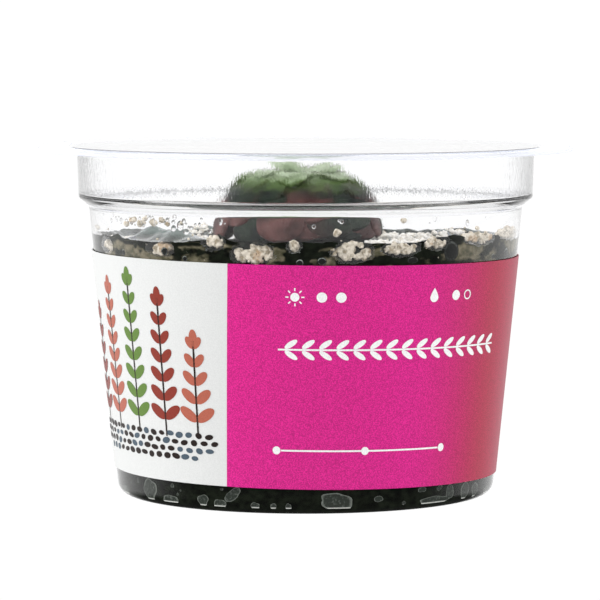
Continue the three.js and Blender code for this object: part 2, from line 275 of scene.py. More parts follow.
# The wall is thickest in the corner of the ledge, which throws the light from above forwards.
inner_skin = [
    (RIM_RADIUS, RIM_HEIGHT + CUP_WALL, RIM_EDGE_BEND),
    (COLLAR_TOP_RADIUS - COLLAR_WALL, RIM_HEIGHT + CUP_WALL, SMALL_BEND),
    (COLLAR_FOOT_RADIUS - COLLAR_WALL, LEDGE_HIGH + CORNER_FILL, 0.5),
    (body_radius(LEDGE_LOW) - CORNER_LEAN, LEDGE_HIGH + 0.2, 0.2),
    (inside_radius(LEDGE_LOW), LEDGE_LOW - 0.3, 0.2),
    (BODY_FOOT_RADIUS - CUP_WALL, CUP_WALL, FOOT_BEND - CUP_WALL),
    (PUNT_RADIUS + PUNT_RISE, CUP_WALL, PUNT_BEND),
    (PUNT_RADIUS, PUNT_RISE + CUP_WALL, 0),
    (0, PUNT_RISE + CUP_WALL, 0),
]
cup_bm = turned(outer_skin + inner_skin)
for face in cup_bm.faces:
    centre = face.calc_center_median()
    if centre.xy.length > COLLAR_TOP_RADIUS + SMALL_BEND:
        face.material_index = 2
    elif centre.z > LEDGE_HIGH + CORNER_CLEAR:
        face.material_index = 1
clear_plastic, place = clear_finish("clear_plastic", PLASTIC_IOR)
feed(clear_plastic, Roughness=0.012 + 0.02 * place.cloud(4))
clear_collar, place = clear_finish("clear_collar", COLLAR_IOR)
drawn_lines = place.cloud(0.35, 3, (1, 1, 0.3))
feed(clear_collar, Roughness=0.015 + 0.02 * place.cloud(4), Normal=drawn_lines.bump(0.55, 0.12))
pressed_rim, place = hazy_finish("pressed_rim", 0.42)
feed(pressed_rim, Roughness=0.3 + 0.15 * place.cloud(1.5))
cup_finishes = [clear_plastic, clear_collar, pressed_rim]
cup = piece(cup_bm, "cup_moulding", cup_finishes, ["cup"])
cup.visible_shadow = False


# Gel: charcoal culture gel, poured warm. It wets the wall, climbs a little at its edge and keeps
# the lumps that were stirred up before it set. Crumbs of perlite press into it at the wall.
GEL_LEVEL = 45.8
GEL_WALL_OVERLAP = 0.05  # the wet gel and the wall are one, so there is no air between them
GEL_STEPS = 480
GEL_ROW_HEIGHT = 0.24
GEL_ROWS_LOW = 36.5
GEL_TOP_RING = 0.42
ROOT_HOLE_RADIUS = 3.6
ROOT_HOLE_DEPTH = 15
MENISCUS_RISE = 1.1
MENISCUS_WIDTH = 2.6
# Lumps on its top: degrees from the front towards +X, radius, height and spread in mm.
GEL_MOUNDS = [
    (-62, 30, 2.9, 3.6), (-49, 29, 2.5, 3.8), (-38, 30, 1.2, 3),
    (112, 27, 1.6, 3.6), (163, 27, 2.4, 3.8), (-138, 27, 2.2, 4),
]
# Where it stands higher or lower against the wall: degrees, rise in mm, spread in degrees.
EDGE_WAVES = [
    (-24, 1.2, 3.4), (-45, -0.5, 12), (-76, -0.25, 6), (42, 0.7, 5), (-59, 0.5, 1.6),
    (22, -0.35, 8), (69, 0.3, 5), (130, 0.5, 7), (-120, 0.4, 9), (170, -0.3, 10),
]


def spot(radius, degrees, height=0):
    """A point at a radius from the axis and an angle from the front."""
    angle = math.radians(degrees)
    return Vector((radius * math.sin(angle), -radius * math.cos(angle), height))


def degrees_of(point):
    return math.degrees(math.atan2(point.x, -point.y))


def turn_between(first, second):
    """The angle from the second to the first, in degrees, the short way round."""
    return (first - second + 180) % 360 - 180


def smooth(value, low, high):
    share = min(1, max(0, (value - low) / (high - low)))
    return share * share * (3 - 2 * share)


def gel_relief(point):
    wall = inside_radius(GEL_LEVEL)
    near_wall = smooth(point.xy.length, wall - MENISCUS_WIDTH, wall) ** 2
    relief = MENISCUS_RISE * near_wall
    for degrees, radius, height, spread in GEL_MOUNDS:
        distance = (spot(radius, degrees).xy - point.xy).length
        relief += height * math.exp(-((distance / spread) ** 2))
    for degrees, rise, spread in EDGE_WAVES:
        turn = turn_between(degrees_of(point), degrees)
        relief += near_wall * rise * math.exp(-((turn / spread) ** 2))
    stirred = smooth(relief, 0.1, 0.8)
    ripple = noise.noise(point * 0.5) * (0.008 + 0.3 * stirred)
    return relief + ripple + noise.noise(point * 1.7) * (0.002 + 0.1 * stirred)


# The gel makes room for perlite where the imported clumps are.
clumps = []
for node_name in sorted(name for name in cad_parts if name.startswith("perlite_clump")):
    corners = [vert.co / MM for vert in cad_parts[node_name].data.vertices]
    middle = sum(corners, Vector()) / len(corners)
    turns = [turn_between(degrees_of(corner), degrees_of(middle)) for corner in corners]
    low = min(corner.z for corner in corners)
    high = max(corner.z for corner in corners)
    clumps.append({
        "node": node_name,
        "degrees": degrees_of(middle) + (max(turns) + min(turns)) / 2,
        "height": (low + high) / 2,
        "half_width": math.radians(max(turns) - min(turns)) / 2 * middle.xy.length,
        "half_height": (high - low) / 2,
    })
CLUMP_DENT = 2.2


def dent_at(point):
    """How far the gel draws back from the wall to make room for a clump."""
    deepest = 0
    degrees = degrees_of(point)
    for clump in clumps:
        turn = math.radians(turn_between(degrees, clump["degrees"]))
        sideways = turn * point.xy.length / (clump["half_width"] + 0.2)
        upwards = (point.z - clump["height"]) / (clump["half_height"] + 0.1)
        if max(abs(sideways), abs(upwards)) < 1.3:
            share = math.hypot(sideways, upwards) + 0.16 * noise.noise(point * 0.9)
            deepest = max(deepest, CLUMP_DENT * (1 - smooth(share, 0.78, 1.02)))
    return deepest


def gel_wall_radius(height):
    return inside_radius(height) + GEL_WALL_OVERLAP


wall_radius = gel_wall_radius(GEL_LEVEL)
row_count = round((GEL_LEVEL - GEL_ROWS_LOW) / GEL_ROW_HEIGHT)
ring_count = round((wall_radius - ROOT_HOLE_RADIUS) / GEL_TOP_RING)
inset = CUP_WALL - GEL_WALL_OVERLAP
gel_outline = [
    (0, PUNT_RISE + inset, 0),
    (PUNT_RADIUS, PUNT_RISE + inset, 0),
    (PUNT_RADIUS + PUNT_RISE, inset, 0.2),
    (gel_wall_radius(inset), inset, FOOT_BEND - inset),
]
for row in range(row_count + 1):
    height = GEL_ROWS_LOW + (GEL_LEVEL - GEL_ROWS_LOW) * row / row_count
    gel_outline.append((gel_wall_radius(height), height, 0))
for step in range(1, ring_count + 1):
    radius = wall_radius + (ROOT_HOLE_RADIUS - wall_radius) * step / ring_count
    gel_outline.append((radius, GEL_LEVEL, 0))
gel_outline += [
    (ROOT_HOLE_RADIUS, GEL_LEVEL - ROOT_HOLE_DEPTH, 0.5),
    (0, GEL_LEVEL - ROOT_HOLE_DEPTH, 0),
]
gel_bm = turned(gel_outline, steps=GEL_STEPS)
edge_rises = {}
depth_layer = new_layer(gel_bm, "depth")
for vert in gel_bm.verts:
    vert[depth_layer] = GEL_LEVEL
    radius = vert.co.xy.length
    on_top = vert.co.z > GEL_LEVEL - 0.01 and radius > ROOT_HOLE_RADIUS - 0.1
    on_wall = not on_top and vert.co.z > GEL_ROWS_LOW and radius > wall_radius - 2
    if not (on_top or on_wall):
        continue
    degrees = degrees_of(vert.co)
    column = round(degrees, 3)
    if column not in edge_rises:
        edge_rises[column] = gel_relief(spot(wall_radius, degrees))
    edge_rise = edge_rises[column]
    if on_wall:
        share = (vert.co.z - GEL_ROWS_LOW) / (GEL_LEVEL - GEL_ROWS_LOW)
        vert[depth_layer] = (GEL_LEVEL - GEL_ROWS_LOW + edge_rise) * (1 - share)
        vert.co.z += edge_rise * share
        new_radius = gel_wall_radius(vert.co.z) - dent_at(vert.co)
    else:
        relief = gel_relief(vert.co)
        share = smooth(radius, 0.78 * wall_radius, wall_radius)
        new_radius = radius
        if share:
            edge = spot(wall_radius, degrees, GEL_LEVEL + edge_rise)
            edge_radius = gel_wall_radius(edge.z) - dent_at(edge)
            new_radius += (edge_radius - wall_radius) * share
        vert.co.z += relief
    vert.co.xy *= new_radius / radius
face_out(gel_bm)
if gel_bm.calc_volume(signed=True) < 0:
    bmesh.ops.reverse_faces(gel_bm, faces=gel_bm.faces)
for face in gel_bm.faces:
    centre = face.calc_center_median()
    in_the_open = face.normal.z > 0.5 or centre.xy.length < wall_radius - 4
    face.material_index = int(in_the_open and centre.z > GEL_LEVEL - 1)

# Against the wall the gel has no gloss of its own. Under its black edge line it is a thin clear
# skin in places, where charcoal has settled out of it.
wet_gel, place = new_finish("gel_at_the_wall", Specular_IOR_Level=0, Roughness=0.6)
depth = place.kept("depth")
settled = depth.ramp(0.7, 1.15) * depth.ramp(4.6, 3.6)
long_cloud = place.cloud(7, 3, (1, 1, 1.7))
to_the_right = place.axis("X").ramp(0.012, 0.03) - 0.6 * place.axis("X").ramp(-0.02, -0.034)
cover = long_cloud + 0.12 * place.cloud(1.2, 3) + 0.07 * to_the_right
haze = cover.ramp(0.53, 0.6) * settled
murk = place.cloud(1.5, 4, (1, 1, 1.3)).ramp(0.3, 0.7)
olive = murk.between(tint(70, 70, 52), tint(132, 124, 104))
black = murk.between(tint(8, 10, 7), tint(27, 32, 23))
feed(wet_gel, Base_Color=haze.between(black, olive))
gel_top, place = new_finish("gel_top", Specular_IOR_Level=0.4, IOR=1.4, Coat_Roughness=0.04)
lumps = place.axis("Z").ramp(0.0467, 0.0482)
x, y = place.axis("X"), place.axis("Y")
near_plant = place.maths("SQRT", x * x + y * y).ramp(0.019, 0.0155)
streaks = place.cloud(2.2, 4).ramp(0.42, 0.66)
# Where the gel rises in mounds it is painted a lighter grey-green: painted reflection of the light
# on the mounds.
top_colour_and_reflection = lumps.between(tint(20, 25, 19), tint(78, 92, 88))
feed(
    gel_top,
    Base_Color=(streaks * 0.5).between(top_colour_and_reflection, tint(66, 76, 70)),
    Roughness=0.04 + 0.1 * place.cloud(2.2) + 0.5 * near_plant,
    Coat_Weight=(1 - 0.9 * lumps) * (1 - near_plant),
    Normal=place.cloud(1.4, 4).bump(0.06, 0.3),
)
piece(gel_bm, "gel", [wet_gel, gel_top], ["gel"])

# Air trapped flat between the gel and the wall: degrees, height, width, tallness, lean. The ones
# at the foot are cut off straight along the bottom, where the wall bends under.
AIR_POCKETS = [
    (-81, 1.5, 3.4, 1.3, 0), (-72, 1.5, 3.2, 1.6, 0), (-66, 3.3, 0.6, 0.7, 0),
    (-61, 3.9, 0.6, 0.8, 0), (-54.4, 2.8, 4, 3.6, 12), (-44.7, 1.5, 3.8, 1.7, 0),
    (-43.6, 4, 0.8, 0.8, 0), (-40.4, 3.3, 0.4, 0.4, 0), (-41.6, 2.6, 0.5, 0.5, 0),
    (-32.2, 2, 2.1, 2, 0), (-26.4, 1.5, 2.2, 1.7, 0), (-22.2, 3.2, 3.6, 1.6, 40),
    (-25.6, 4.1, 0.6, 0.5, 0), (-15.2, 1.5, 1.5, 1.2, 0), (-9.6, 1.5, 1, 1.1, 0),
    (-5.1, 1.5, 1, 1, 0), (9, 2.4, 5.6, 3.2, -4), (22, 2.5, 1.7, 1.1, 10),
    (30.6, 1.6, 0.7, 0.6, 0), (42.6, 1.5, 7, 1.5, 0), (36.9, 3.6, 1.8, 1, 0),
    (43.8, 3.6, 1.3, 0.8, 20), (48.6, 2.7, 2, 2.5, -8), (56.5, 2.6, 2.5, 2.8, -18),
    (62.6, 2.3, 2.3, 2.4, -10), (73, 1.5, 3, 1.3, 0), (110, 2.4, 3, 1.8, 12),
    (134, 1.5, 2.4, 1.4, 0), (165, 2.6, 4, 2.4, 8), (-150, 1.6, 2.8, 1.5, 0),
    (-118, 2.6, 1.8, 2.6, 0),
]
# Round bubbles in the gel's edge: degrees, height, width, tallness, how strong the painted
# highlight ring in them is.
BUBBLES = [
    (-40, 44.9, 1.5, 1.4, 1), (-33.4, 43.8, 1, 1, 1), (-1.6, 43.4, 1.3, 1.3, 1),
    (4.2, 43.7, 1.6, 1.3, 1), (41.5, 44.9, 3.4, 3.6, 0.15), (29, 43.6, 2.2, 1.2, 0.4),
    (68.4, 43.6, 1.8, 2, 0.7), (60, 43.4, 1, 1, 1), (-57, 44.2, 1.1, 1.1, 0.8),
    (120, 44, 1.8, 1.5, 0.6), (-130, 44.2, 1.4, 1.4, 1), (160, 43.8, 2.2, 1.6, 0.4),
]
POCKET_DEPTH = 0.03
POCKET_FOOT = 1.15  # no pocket reaches lower


def foot_draw_in(height):
    """How far the rounding at the foot draws the wall in."""
    low = max(0, FOOT_BEND * 0.95 - height)
    return FOOT_BEND - math.sqrt(max(0, FOOT_BEND**2 - low**2))


def join(whole, part):
    """Adds a finished part to a whole."""
    mesh = as_mesh(part, "part")
    whole.from_mesh(mesh)
    bpy.data.meshes.remove(mesh)


def flat_pocket(whole, degrees, height, width, tall, lean, ripple, shine=1):
    """A flat blister of air on the wall. Each point keeps how far out and how far up it is."""
    pocket = bmesh.new()
    rim_layer = new_layer(pocket, "rim")
    up_layer = new_layer(pocket, "up")
    glint_layer = new_layer(pocket, "shine")
    bmesh.ops.create_uvsphere(pocket, u_segments=28, v_segments=14, radius=1)
    turn = Matrix.Rotation(math.radians(lean), 2)
    for vert in pocket.verts:
        sideways, upwards, proud = vert.co.x, vert.co.y, vert.co.z
        vert[rim_layer] = math.hypot(sideways, upwards)
        vert[up_layer] = upwards
        vert[glint_layer] = shine
        swell = 1 + ripple * noise.noise(Vector((sideways, upwards, degrees)) * 1.3)
        flat = turn @ Vector((sideways * width / 2, upwards * tall / 2)) * swell
        at_height = max(POCKET_FOOT, height + flat.y)
        wall = gel_wall_radius(at_height) - foot_draw_in(at_height) + POCKET_DEPTH * proud
        vert.co = spot(wall, degrees + math.degrees(flat.x / wall), at_height)
    join(whole, pocket)


air = bmesh.new()
for row in AIR_POCKETS:
    flat_pocket(air, *row, ripple=0.3)
face_out(air)
trapped_air, place = new_finish("trapped_air", Specular_IOR_Level=0.2, Roughness=0.4)
edge_line = place.kept("rim").ramp(0.82, 0.97) * 0.5
speckle = place.cloud(0.4, 4).ramp(0.5, 0.75) * 0.35
# Along their flat foot the pockets are painted near-white: a painted glint where the wall bends
# under.
painted_foot_glint = place.axis("Z").ramp(0.0014, 0.00118)
dull = (edge_line + speckle).between(tint(40, 46, 40), tint(146, 152, 144))
feed(trapped_air, Base_Color=painted_foot_glint.between(dull, tint(226, 228, 222)))
piece(air, "trapped_air", [trapped_air])

bubbles = bmesh.new()
for *row, shine in BUBBLES:
    flat_pocket(bubbles, *row, lean=0, ripple=0.1, shine=shine)
face_out(bubbles)
bubble_skin, place = new_finish("bubble", Specular_IOR_Level=0.2, Roughness=0.3)
# The light ring in each bubble, brighter towards its top, is a painted highlight.
rim = place.kept("rim")
highlight_ring = place.kept("shine") * rim.ramp(0.68, 0.8) * rim.ramp(0.97, 0.86)
lit_from_above = 0.25 + 0.75 * place.kept("up").ramp(-0.1, 0.7)
painted_glint = highlight_ring * lit_from_above * place.cloud(0.5, 2).ramp(0.3, 0.7)
feed(bubble_skin, Base_Color=painted_glint.between(tint(8, 10, 8), tint(198, 204, 198)))
piece(bubbles, "gel_bubbles", [bubble_skin])


# Perlite: froths of white volcanic glass, stirred into the gel. The crumbs hold together in
# masses at the wall, with loose specks round them.
PERLITE_WALL_GAP = 0.06
VOXEL = 0.13
FROTH = 0.5  # the size of its bubbles
MASS_CRUMB = (0.42, 0.95)
CRUMBS_BY_SIZE = 3.4
FEWEST_CRUMBS = 6
SPECKS = 5
SPECK = (0.1, 0.3)
SPECKS_BELOW = GEL_LEVEL + 1.6
perlite_finish, place = new_finish("perlite", Specular_IOR_Level=0.25)
froth_shade = place.cloud(0.8, 4).ramp(0.34, 0.6)
stained = place.cloud(3.4, 3).ramp(0.58, 0.68)
cream = froth_shade.between(tint(150, 138, 116), tint(226, 217, 202))
feed(
    perlite_finish,
    Base_Color=(stained * 0.6).between(cream, tint(176, 140, 98)),
    Roughness=0.75 + 0.2 * froth_shade,
    Normal=place.cloud(0.45, 4).bump(0.7, 0.25),
)


def add_crumb(bm, at, size, tumble=None, fineness=2):
    shape = Matrix.LocRotScale(at, tumble, size)
    bmesh.ops.create_icosphere(bm, subdivisions=fineness, radius=1, matrix=shape)


def remeshed(bm, voxel):
    """One closed skin round what was drawn."""
    mesh = as_mesh(bm, "rough")
    rough = put_in_scene(mesh, "rough")
    remesh = rough.modifiers.new("skin", "REMESH")
    remesh.mode = "VOXEL"
    remesh.voxel_size = voxel
    shown = rough.evaluated_get(bpy.context.evaluated_depsgraph_get())
    skinned = bmesh.new()
    skinned.from_mesh(shown.to_mesh())
    shown.to_mesh_clear()
    bpy.data.objects.remove(rough)
    bpy.data.meshes.remove(mesh)
    return skinned


for clump_number, clump in enumerate(clumps):
    draw = random.Random(100 + clump_number)
    mass = bmesh.new()
    half_height = clump["half_height"]
    crumbs = round(CRUMBS_BY_SIZE * clump["half_width"] * half_height) + FEWEST_CRUMBS
    for crumb in range(crumbs):
        size = draw.uniform(*MASS_CRUMB)
        turn = draw.uniform(0, 2 * math.pi)
        reach = math.sqrt(draw.random())
        sideways = reach * math.cos(turn) * max(0.1, clump["half_width"] - 0.8 * size)
        height = clump["height"] + reach * math.sin(turn) * max(0.1, half_height - 0.8 * size)
        radius = inside_radius(height) - PERLITE_WALL_GAP - draw.uniform(0.75, 1.15) * size
        centre = spot(radius, clump["degrees"], height)
        centre += spot(1, clump["degrees"] + 90) * sideways
        centre.xy *= radius / centre.xy.length
        tumble = Euler((draw.uniform(0, 3), draw.uniform(0, 3), 0))
        wide = size * draw.uniform(0.55, 1)
        add_crumb(mass, centre, (size, wide, size * draw.uniform(0.5, 0.9)), tumble)
    mass = remeshed(mass, VOXEL)
    for vert in mass.verts:
        cell = noise.voronoi(vert.co / FROTH)[0][0]
        swell = 0.22 * (0.4 - cell) + 0.12 * noise.noise(vert.co * 2.3)
        vert.co += vert.normal * swell
        limit = inside_radius(vert.co.z) - PERLITE_WALL_GAP / 2
        vert.co.xy *= min(1, limit / vert.co.xy.length)
    for speck in range(SPECKS):
        size = draw.uniform(*SPECK)
        degrees = clump["degrees"] + draw.gauss(0, 1) * (2 + clump["half_width"])
        height = clump["height"] + draw.gauss(0, 0.8) * (half_height + 0.3)
        height = min(height, SPECKS_BELOW)
        wall = inside_radius(height) - PERLITE_WALL_GAP
        add_crumb(mass, spot(wall - size / 2, degrees, height), (size,) * 3)
    name = clump["node"].replace("clump_", "")
    piece(mass, name, [perlite_finish], [clump["node"]])


# A few crumbs have stayed on the wall above the gel: degrees, height, size.
LOOSE_CRUMBS = [
    (8.2, 48.5, 0.7), (-31, 47.9, 0.3), (52, 48.6, 0.4), (-82, 47.9, 0.5), (150, 48.6, 0.6),
    (-55.5, 49.3, 0.45), (-52.6, 50, 0.6), (-49.6, 49.5, 0.7), (-47, 50.3, 0.4),
    (-44.4, 49.7, 0.65), (-41.2, 50.2, 0.5), (-39, 49.6, 0.45), (-34, 49.9, 0.35),
]
loose = bmesh.new()
for degrees, height, size in LOOSE_CRUMBS:
    wall = inside_radius(height) - PERLITE_WALL_GAP
    add_crumb(loose, spot(wall - size, degrees, height), (size,) * 3, fineness=3)
for vert in loose.verts:
    vert.co += vert.normal * 0.25 * noise.noise(vert.co * 1.3)
piece(loose, "perlite_loose", [perlite_finish])

# Water stands in flat drops on the wall above the gel: degrees, height, size. Most of the small
# ones are on the left.
LARGE_DROPS = [
    (-36.6, 48.9, 0.55), (-34.4, 49.4, 0.7), (-32.6, 48.4, 0.6), (-31, 49.1, 0.4),
    (-25.5, 48.6, 0.35), (47, 49.6, 0.45), (78, 49.3, 0.4), (140, 49.2, 0.6), (-155, 49.5, 0.5),
]
SMALL_DROPS = 56
DROP_DEPTH = 0.16
WATER_IOR = 1.33
draw = random.Random(12)
small_drops = []
for drop in range(SMALL_DROPS):
    degrees = draw.gauss(-46, 12) if drop % 5 else draw.uniform(0, 300)
    small_drops.append((degrees, draw.uniform(49.1, 50.9), draw.uniform(0.12, 0.42)))
drops = bmesh.new()
for degrees, height, size in LARGE_DROPS + small_drops:
    at = spot(inside_radius(height) - DROP_DEPTH, degrees, height)
    turn = Euler((0, 0, math.radians(degrees)))
    tall = size * draw.uniform(0.8, 1.5)
    shape = Matrix.LocRotScale(at, turn, (size, DROP_DEPTH, tall))
    bmesh.ops.create_uvsphere(drops, u_segments=14, v_segments=8, radius=1, matrix=shape)
water, place = clear_finish("water_drops", WATER_IOR, (1, 1, 1, 1), Roughness=0.02)
water_drops = piece(drops, "water_drops", [water])
water_drops.visible_shadow = False

# The lightest crumbs floated up and lie in a crust on the gel, thickest to the right and behind.
CRUST_CRUMBS = 900
CRUST_SIZE = (0.25, 0.75)
CRUST_INNER = 17
CRUST_OUTER = 35.6
CRUST_GAPS = -0.12  # where the noise over the gel is lower, no crumb lies
BARE_SIDE = -20
BARE_HALF_ANGLES = (75, 40)
crust = bmesh.new()
draw = random.Random(21)
crumbs_laid = 0
while crumbs_laid < CRUST_CRUMBS:
    radius = math.sqrt(draw.uniform(CRUST_INNER**2, CRUST_OUTER**2))
    degrees = draw.uniform(-180, 180)
    size = draw.uniform(*CRUST_SIZE)
    bare = smooth(abs(turn_between(degrees, BARE_SIDE)), *BARE_HALF_ANGLES)
    if draw.random() < bare or noise.noise(spot(radius, degrees) * 0.16) < CRUST_GAPS:
        continue
    at = spot(radius, degrees, GEL_LEVEL)
    at.z += gel_relief(at) + 0.25 * size
    tumble = Euler((draw.uniform(0, 3), draw.uniform(0, 3), 0))
    crumb = bmesh.new()
    add_crumb(crumb, at, (size, size * 0.8, size * draw.uniform(0.5, 0.9)), tumble)
    for vert in crumb.verts:
        vert.co += (vert.co - at) * 0.5 * noise.noise(vert.co * 2.1)
    join(crust, crumb)
    crumbs_laid += 1
crust_finish, place = new_finish("perlite_crust", Specular_IOR_Level=0.2)
crust_shade = place.cloud(0.9, 4).ramp(0.3, 0.6)
feed(
    crust_finish,
    Base_Color=crust_shade.between(tint(206, 199, 186), tint(242, 239, 234)),
    Roughness=0.8 + 0.15 * crust_shade,
    Normal=place.cloud(0.5, 4).bump(0.5, 0.2),
)
piece(crust, "perlite_crust", [crust_finish])


# Butterwort: thick pointed leaves in a spiral round a short stem, arched over to the gel at the
# foot and upright in the heart. Their upper sides are covered with glands that sweat sticky
# drops. A few white roots go down in the gel. Lists run from the outermost leaf inwards.
ROSETTE_AXIS = -0.8
LEAF_COUNT = 56
GOLDEN_ANGLE = 137.508
LEAF_SEGMENTS = 20
LEAF_RINGS = 30
LEAF_LENGTHS = [18.1, 19.2, 14.4, 11, 10]
LEAF_HALF_WIDTHS = [4.4, 4.3, 3.7, 2.7, 1.5]
LEAF_HALF_THICKNESSES = [1.1, 1.2, 1.05, 0.85, 0.7]
LEAF_START_ANGLES = [36, 42, 50, 62, 84]
LEAF_END_ANGLES = [-92, -94, -66, -10, 78]
LEAF_ROOT_RADII = [1.4, 1.2, 0.9, 0.6, 0.3]
LEAF_ROOT_HEIGHTS = [6.9, 7.1, 7.8, 6.8, 4]
LEAF_CURLS = [-0.06, 0, 0.1, 0.24, 0.26]
LEAF_TIP_POWERS = [9, 8, 5, 3, 2.2]
LEAF_WIDEST = 0.6
LEAF_ROOT_SHARE = 0.45
LEAF_TIP_THICKNESS = 0.5
OLD_LEAVES = 13
OLD_LEAF_SHARE = 0.94
WINDWARD_SHARE = 0.045  # how much longer the leaves to the left are
TONE_TURNS = 5.54  # how often the leaves' colour comes round again in a full turn
TONE_START = 2.5
HEART_SHARE = 0.72
# The heart's leaves stand in two tufts: the tips between these places (x in mm) stay lower.
HEART_GAPS = [(-12, -7.6), (-1, 4.2), (8.2, 12)]
HEART_GAP_SHARE = 0.8
STEM_RADIUS = 3
STEM_CENTRE = 4.4
NECK_RADIUS = 2.2
NECK_DEPTH = 2
ROOT_COUNT = 6
ROOT_LENGTH = 13
ROOT_SPREAD = 1.9
ROOT_RADII = [0.75, 0.4]


def scatter(index, channel):
    """A repeatable value between -1 and 1, a different one for each channel."""
    turns = 0.754877666 * index + 0.56984029 * channel
    return 2 * (turns - math.floor(turns)) - 1


def along_list(values, share):
    place_in_list = share * (len(values) - 1)
    step = min(int(place_in_list), len(values) - 2)
    return values[step] + (values[step + 1] - values[step]) * (place_in_list - step)


def new_leaf(index, azimuth, shorter=1):
    share = index / (LEAF_COUNT - 1)
    azimuth += 8 * scatter(index, 1)
    tone_turn = math.radians(TONE_TURNS * turn_between(azimuth, TONE_START))
    azimuth = math.radians(azimuth)
    length = along_list(LEAF_LENGTHS, share) * shorter * (1 + 0.04 * scatter(index, 2))
    length *= 1 - WINDWARD_SHARE * math.sin(azimuth)
    start = math.radians(along_list(LEAF_START_ANGLES, share) + 3 * scatter(index, 4))
    end = math.radians(along_list(LEAF_END_ANGLES, share) + 4 * scatter(index, 5))
    outwards = Vector((math.sin(azimuth), -math.cos(azimuth), 0))
    root = outwards * along_list(LEAF_ROOT_RADII, share)
    root.z = GEL_LEVEL + along_list(LEAF_ROOT_HEIGHTS, share)
    root.x += ROSETTE_AXIS
    return {
        "share": share,
        "hue": 0.5 + 0.5 * math.cos(tone_turn),
        "length": length,
        "half_width": along_list(LEAF_HALF_WIDTHS, share) * (1 + 0.08 * scatter(index, 3)),
        "half_thickness": along_list(LEAF_HALF_THICKNESSES, share),
        "curl": along_list(LEAF_CURLS, share),
        "tip_power": along_list(LEAF_TIP_POWERS, share),
        "start": start,
        "bend": end - start,
        "outwards": outwards,
        "across": outwards.cross(Vector((0, 0, 1))),
        "root": root,
    }


def leaf_width(leaf, along):
    """Half the leaf's width at a share of its length, as a share of the widest."""
    if along < LEAF_WIDEST:
        rising = math.sin(math.pi / 2 * along / LEAF_WIDEST)
        return LEAF_ROOT_SHARE + (1 - LEAF_ROOT_SHARE) * rising
    return 1 - ((along - LEAF_WIDEST) / (1 - LEAF_WIDEST)) ** leaf["tip_power"]


def leaf_point(leaf, along, across, through):
    """A point of the leaf: along it, across it from -1 to 1, and through it from -1 to 1."""
    slope = leaf["start"] + leaf["bend"] * along
    scale = leaf["length"] / leaf["bend"]
    reach = scale * (math.sin(slope) - math.sin(leaf["start"]))
    rise = scale * (math.cos(leaf["start"]) - math.cos(slope))
    half_span = leaf["half_width"] * leaf_width(leaf, along)
    thickness = leaf["half_thickness"] * (1 + (LEAF_TIP_THICKNESS - 1) * along) * through
    lift = thickness + leaf["curl"] * half_span * across**2
    point = leaf["root"] + leaf["outwards"] * (reach - lift * math.sin(slope))
    point += leaf["across"] * half_span * across
    point.z += rise + lift * math.cos(slope)
    return point


plant = bmesh.new()
leaves = [new_leaf(index, GOLDEN_ANGLE * index) for index in range(LEAF_COUNT)]
# The oldest leaves have shrunk, and fill the gaps behind the outer ones.
for index in range(OLD_LEAVES):
    leaves.append(new_leaf(index, 360 * (index + 0.5) / OLD_LEAVES, OLD_LEAF_SHARE))
for leaf in leaves:
    tip = leaf_point(leaf, 1, 0, 0)
    if leaf["share"] > HEART_SHARE and any(low < tip.x < high for low, high in HEART_GAPS):
        leaf["length"] *= HEART_GAP_SHARE
    blade = bmesh.new()
    across_layer = new_layer(blade, "across")
    heart_layer = new_layer(blade, "heart")
    hue_layer = new_layer(blade, "hue")
    bmesh.ops.create_uvsphere(blade, u_segments=LEAF_SEGMENTS, v_segments=LEAF_RINGS, radius=1)
    for vert in blade.verts:
        along = math.acos(max(-1, min(1, -vert.co.z))) / math.pi
        ring = math.hypot(vert.co.x, vert.co.y)
        across = vert.co.x / ring if ring > 1e-3 else 0
        through = vert.co.y / ring if ring > 1e-3 else 0
        vert.co = leaf_point(leaf, along, across, through)
        vert[across_layer] = abs(across)
        vert[heart_layer] = leaf["share"]
        vert[hue_layer] = leaf["hue"]
    join(plant, blade)
stem_at = Vector((ROSETTE_AXIS, 0, GEL_LEVEL + STEM_CENTRE))
stem_shape = Matrix.LocRotScale(stem_at, None, (STEM_RADIUS, STEM_RADIUS, STEM_CENTRE))
bmesh.ops.create_uvsphere(plant, u_segments=24, v_segments=12, radius=1, matrix=stem_shape)
neck_height = STEM_CENTRE + NECK_DEPTH
neck_at = Vector((ROSETTE_AXIS, 0, GEL_LEVEL + neck_height / 2 - NECK_DEPTH))
bmesh.ops.create_cone(
    plant, cap_ends=True, segments=24, radius1=NECK_RADIUS, radius2=NECK_RADIUS,
    depth=neck_height, matrix=Matrix.Translation(neck_at),
)
face_out(plant)

leaf_finish, place = new_finish("leaf", Specular_IOR_Level=0.2, Coat_Roughness=0.3)
mottle = place.cloud(1.6, 4)
lift = place.axis("Z") + 0.0045 * (mottle - 0.5) + 0.002 * (place.kept("heart") - 0.5)
flesh_green = lift.ramp(0.0556, 0.0588).between(tint(84, 108, 56), tint(188, 202, 176))
maroon = place.cloud(3.4, 2).ramp(0.35, 0.65).between(tint(54, 28, 27), tint(98, 64, 61))
# The near-black teal is partly the leaves' own colour and partly painted shade.
teal_and_shade = place.cloud(3, 2).ramp(0.35, 0.65).between(tint(7, 14, 12), tint(30, 40, 30))
tone = place.kept("hue") + 0.3 * (place.cloud(5, 2) - 0.5)
